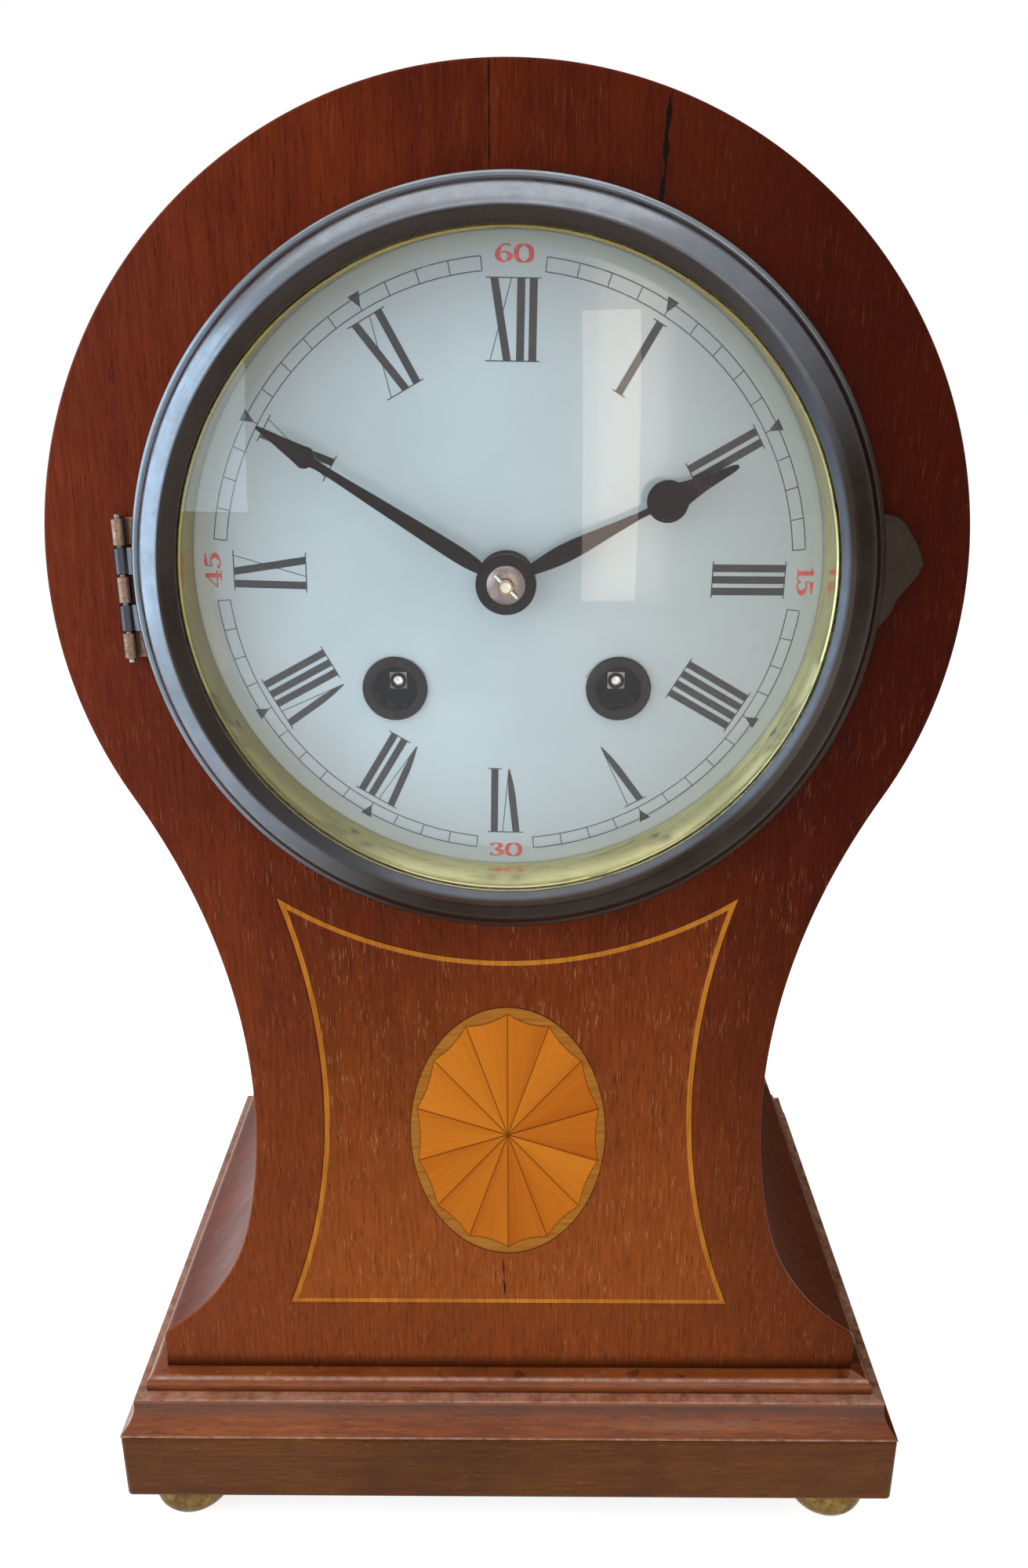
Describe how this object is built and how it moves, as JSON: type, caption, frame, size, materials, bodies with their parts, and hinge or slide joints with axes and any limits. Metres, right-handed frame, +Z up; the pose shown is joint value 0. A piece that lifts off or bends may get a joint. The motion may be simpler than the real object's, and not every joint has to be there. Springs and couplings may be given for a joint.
{
  "type": "balloon mantel clock",
  "caption": "Balloon-shaped mantel clock in inlaid mahogany on a moulded plinth with brass feet, with a hinged glazed bezel, enamel dial and striking pendulum movement.",
  "frame": {"origin": "middle of the footprint, on the surface that the feet stand on", "axes": "+Z up, +X to the right seen from the front, -Y towards the viewer"},
  "size_m": [0.1784, 0.1282, 0.3097],
  "materials": {
    "mahogany": "french polished, worn",
    "carcase_wood": "bare",
    "boxwood": "polished",
    "satinwood": "polished, sand shaded",
    "brass": "satin",
    "foot_brass": "tarnished",
    "aged_brass": "tarnished",
    "gilt": "gilt",
    "bronze": "dark patina",
    "steel": "polished",
    "blued_steel": "blued, aged",
    "iron": "black",
    "enamel": "gloss",
    "glass": "clear"
  },
  "bodies": {
    "case": {"foot_front_left": "foot_brass", "foot_front_right": "foot_brass", "foot_back_left": "foot_brass", "foot_back_right": "foot_brass", "plinth_block": "mahogany", "plinth_front": "mahogany", "plinth_right": "mahogany", "plinth_back": "mahogany", "plinth_left": "mahogany", "case_floor": "carcase_wood", "front_veneer": "mahogany", "stringing": "boxwood", "panel_veneer": "mahogany", "fan_inlay": "satinwood", "front_board": "carcase_wood", "case_band": "mahogany", "back_board": "mahogany", "dial_pan": "brass", "bezel_hinge_pin": "steel", "dial": "enamel", "winding_collet_left": "bronze", "winding_collet_right": "bronze", "centre_collet": "bronze", "front_plate": "brass", "back_plate": "brass", "back_cock": "brass", "gong": "steel", "gong_stand": "iron", "back_ring": "brass", "back_door_pin": "steel", "strap_left": "brass", "strap_right": "brass", "strap_screw_left": "steel", "strap_screw_right": "steel"},
    "bezel_door": {"bezel": "aged_brass", "bezel_glass": "glass", "sight_ring": "gilt", "bezel_tab": "aged_brass"},
    "minute_set": {"minute_hand": "blued_steel", "cannon_pinion": "steel"},
    "minute_work": {"minute_wheel": "brass"},
    "hour_set": {"hour_hand": "blued_steel", "hour_wheel": "brass"},
    "escape": {"escape_wheel": "brass"},
    "third": {"third_wheel": "brass"},
    "centre": {"centre_wheel": "brass", "hand_washer": "bronze", "hand_pin": "steel"},
    "intermediate": {"intermediate_wheel": "brass"},
    "going_drum": {"going_barrel": "brass"},
    "going_winder": {"going_winding_arbor": "steel"},
    "strike_drum": {"strike_barrel": "brass"},
    "strike_winder": {"strike_winding_arbor": "steel"},
    "strike_wheel": {"strike_pin_wheel": "brass"},
    "striker": {"hammer": "iron"},
    "pendulum": {"pallet_anchor": "steel", "pendulum_rod": "steel", "pendulum_bob": "brass"},
    "nut": {"rating_nut": "brass"},
    "rear_door": {"back_door": "brass"}
  },
  "joints": [
    {"name": "bezel_hinge", "type": "hinge", "parent": "case", "child": "bezel_door", "pos_m": [-0.0694, -0.0568, 0.22445], "axis": [0, 0, -1], "range_deg": [0, 115]},
    {"name": "rear_door_hinge", "type": "hinge", "parent": "case", "child": "rear_door", "pos_m": [0.04905, 0.0574, 0.2255], "axis": [0, 0, -1], "range_deg": [0, 110]},
    {"name": "minute_turn", "type": "hinge", "parent": "case", "child": "minute_set", "pos_m": [0, -0.0578, 0.2255], "axis": [0, 1, 0], "continuous": true},
    {"name": "minute_wheel_turn", "type": "hinge", "parent": "case", "child": "minute_work", "pos_m": [0.00681, -0.0422, 0.2373], "axis": [0, 1, 0], "continuous": true},
    {"name": "hour_turn", "type": "hinge", "parent": "case", "child": "hour_set", "pos_m": [0, -0.0556, 0.2255], "axis": [0, 1, 0], "continuous": true},
    {"name": "escape_turn", "type": "hinge", "parent": "case", "child": "escape", "pos_m": [0, -0.0186, 0.25171], "axis": [0, 1, 0], "continuous": true},
    {"name": "third_turn", "type": "hinge", "parent": "case", "child": "third", "pos_m": [-0.00631, -0.0266, 0.23904], "axis": [0, 1, 0], "continuous": true},
    {"name": "centre_turn", "type": "hinge", "parent": "case", "child": "centre", "pos_m": [0, -0.0354, 0.2255], "axis": [0, 1, 0], "continuous": true},
    {"name": "intermediate_turn", "type": "hinge", "parent": "case", "child": "intermediate", "pos_m": [0.01574, -0.0086, 0.22454], "axis": [0, 1, 0], "continuous": true},
    {"name": "going_drum_turn", "type": "hinge", "parent": "case", "child": "going_drum", "pos_m": [0.0213, -0.0326, 0.2046], "axis": [0, 1, 0], "continuous": true},
    {"name": "going_winding", "type": "hinge", "parent": "case", "child": "going_winder", "pos_m": [0.0213, -0.0451, 0.2046], "axis": [0, 1, 0], "range_deg": [0, 1800]},
    {"name": "strike_drum_turn", "type": "hinge", "parent": "case", "child": "strike_drum", "pos_m": [-0.0213, -0.0326, 0.2046], "axis": [0, 1, 0], "continuous": true},
    {"name": "strike_winding", "type": "hinge", "parent": "case", "child": "strike_winder", "pos_m": [-0.0213, -0.0451, 0.2046], "axis": [0, -1, 0], "range_deg": [0, 1800]},
    {"name": "strike_wheel_turn", "type": "hinge", "parent": "case", "child": "strike_wheel", "pos_m": [-0.01574, -0.0086, 0.22454], "axis": [0, 1, 0], "continuous": true},
    {"name": "hammer_lift", "type": "hinge", "parent": "case", "child": "striker", "pos_m": [-0.027, 0.0174, 0.2395], "axis": [0, 1, 0], "range_deg": [0, 14]},
    {"name": "pendulum_swing", "type": "hinge", "parent": "case", "child": "pendulum", "pos_m": [0, 0.0079, 0.26515], "axis": [0, 1, 0], "range_deg": [-4, 4]},
    {"name": "rating_nut_turn", "type": "hinge", "parent": "pendulum", "child": "nut", "pos_m": [0, 0.0079, 0.07555], "axis": [0, 0, 1], "continuous": true}
  ],
  "couplings": [
    {"joint": "minute_wheel_turn", "follows": "minute_turn", "ratio": -0.33333},
    {"joint": "hour_turn", "follows": "minute_turn", "ratio": 0.083333},
    {"joint": "third_turn", "follows": "escape_turn", "ratio": -0.083333},
    {"joint": "centre_turn", "follows": "escape_turn", "ratio": 0.0069444},
    {"joint": "intermediate_turn", "follows": "escape_turn", "ratio": -0.0011574},
    {"joint": "going_drum_turn", "follows": "escape_turn", "ratio": 0.0001929},
    {"joint": "strike_wheel_turn", "follows": "strike_drum_turn", "ratio": -6}
  ]
}
